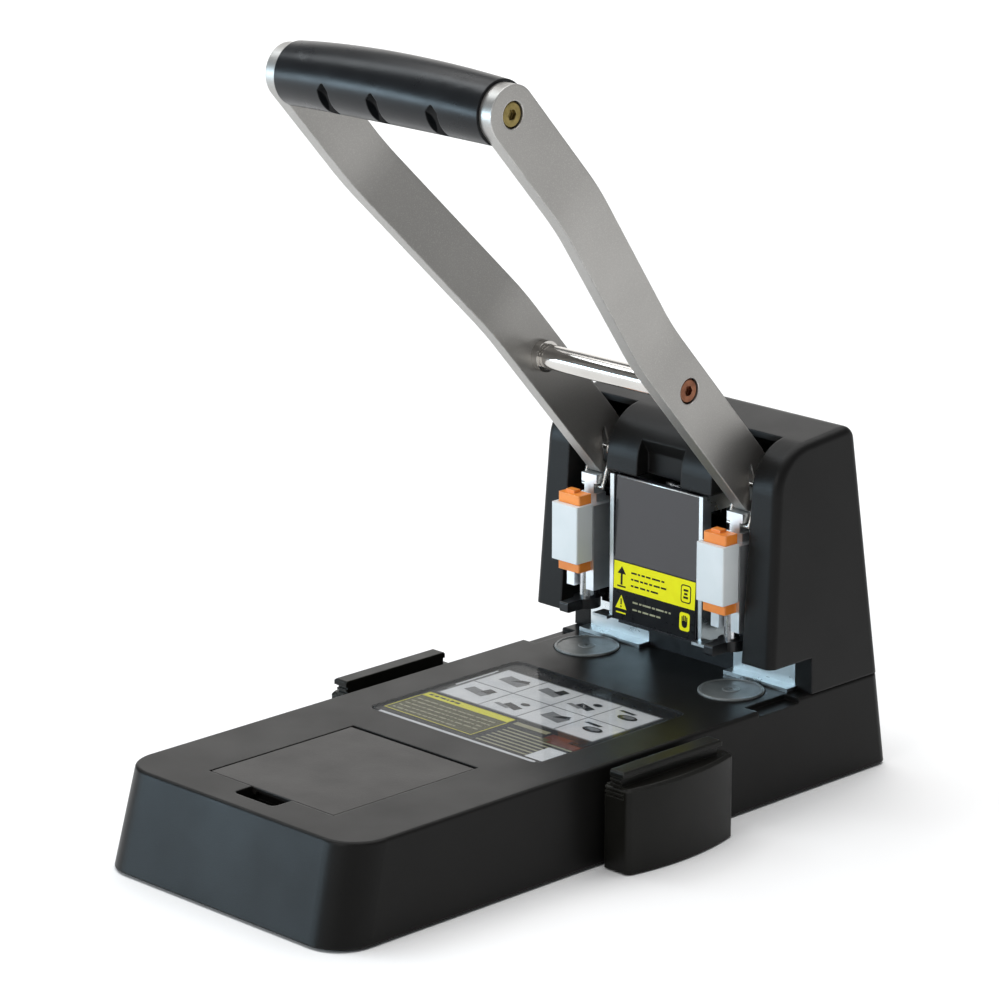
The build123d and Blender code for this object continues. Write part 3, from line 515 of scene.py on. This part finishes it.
def bin_strip():
    """The yellow and black bands on the chip bin's leaning front."""
    lean = math.atan2(BIN_RUN, BIN_RISE)
    up = Vector((0, math.sin(lean), math.cos(lean)))
    out = Vector((0, -math.cos(lean), math.sin(lean)))
    strip = Print("bin_label_print", at(0, -3.25, 57.0) + out * STRIP_STEP * MM, up, STRIP_STEP)
    strip.bar(0, BAND_YELLOW, -BIN_HALF, BIN_HALF, BAND_SPLIT, BAND_HIGH)
    strip.bar(0, CARD_BLACK, -BIN_HALF, BIN_HALF, BAND_LOW, BAND_SPLIT)
    yellow_band(strip)
    black_band(strip)
    strip.build("chip_bin")


def bin_rim():
    """The bright bead along the top front edge of the chip bin."""
    rim_y, rim_z, radius, steps = -0.35, 116.25, 0.55, 8
    circle = ring(radius, steps)
    points = [tuple(at(x, rim_y + a, rim_z + b)) for x in (-BIN_HALF, BIN_HALF) for a, b in circle]
    faces = [(k, (k + 1) % steps, steps + (k + 1) % steps, steps + k) for k in range(steps)]
    faces += [tuple(reversed(range(steps))), tuple(range(steps, 2 * steps))]
    mesh = bpy.data.meshes.new("bin_rim_bead")
    mesh.from_pydata(points, [], faces)
    mesh.materials.append(ZINC)
    mesh.shade_smooth()
    piece = put("bin_rim_bead", mesh)
    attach(piece, "chip_bin")


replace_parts(label_card(), "label_card")
bin_strip()
bin_rim()


# ---- floor, lights and camera -------------------------------------------
WORLD_STRENGTH = 0.24
FLOOR_HALF = 14.0
EYE, LOOK = Vector((1.17317, -1.16604, 0.60584)), Vector((0.0, -0.00315, 0.1287))


def aim(piece, place, target):
    """Stand a lamp or the camera at place, facing target."""
    place = Vector(place)
    turn = (Vector(target) - place).to_track_quat("-Z", "Y")
    piece.matrix_world = Matrix.Translation(place) @ turn.to_matrix().to_4x4()


def floor():
    paper = Shader("floor_paper", rough=0.9)
    grey = (0.86, 0.86, 0.86)
    paper.drive("Base Color", paper.mix(paper.noise(3.0), grey, tuple(c * 1.02 for c in grey)))
    mesh = bpy.data.meshes.new("floor")
    corners = [(-FLOOR_HALF, -FLOOR_HALF), (FLOOR_HALF, -FLOOR_HALF), (FLOOR_HALF, FLOOR_HALF),
               (-FLOOR_HALF, FLOOR_HALF)]
    mesh.from_pydata([(x, y, 0) for x, y in corners], [], [(0, 1, 2, 3)])
    mesh.materials.append(paper.mat)
    put("floor", mesh)


def sky_panel(power, angle, lean):
    """A very wide, soft light from above, the same all over the floor."""
    light = bpy.data.lights.new("sky_panel", "SUN")
    light.energy, light.angle = power, angle
    put("sky_panel", light).rotation_euler = lean


def lamp(name, place, target, size, power, color=(1, 1, 1)):
    """A rectangular soft box at place that faces target."""
    light = bpy.data.lights.new(name, "AREA")
    light.shape = "RECTANGLE"
    light.size, light.size_y = size
    light.energy = power
    light.color = color
    aim(put(name, light), place, target)


def camera():
    data = bpy.data.cameras.new("camera")
    data.lens, data.sensor_width = 160.6, 36.0
    data.clip_start, data.clip_end = 0.05, 60.0
    piece = put("camera", data)
    aim(piece, EYE, LOOK)
    bpy.context.scene.camera = piece


def world():
    """An even, dim light from all round."""
    sky = bpy.data.worlds.new("studio")
    sky.use_nodes = True
    background = sky.node_tree.nodes["Background"]
    background.inputs["Color"].default_value = (0.97, 0.98, 1.0, 1.0)
    background.inputs["Strength"].default_value = WORLD_STRENGTH
    bpy.context.scene.world = sky


floor()
lamp("wall_box", place=(-1.7, 1.9, 0.75), target=(0.0, 0.0, 0.1), size=(2.6, 1.5), power=13.0,
     color=(1.0, 0.985, 0.96))
lamp("front_box", place=(-1.25, -1.5, 0.2), target=(0, -0.1, 0.02), size=(1.2, 0.36), power=16.0,
     color=(0.62, 0.84, 1.0))
lamp("key_box", place=(-1.35, -0.4, 1.85), target=(0, -0.05, 0.25), size=(0.5, 1.3), power=10.0,
     color=(0.9, 0.96, 1.0))
lamp("fill_box", place=(0.1, -2.4, 1.3), target=(0, 0.0, 0.1), size=(1.4, 1.0), power=18.0)
sky_panel(power=2.7, angle=1.25, lean=(-0.18, -0.12, 0.0))
world()
camera()
bpy.context.scene.view_settings.view_transform = "Standard"
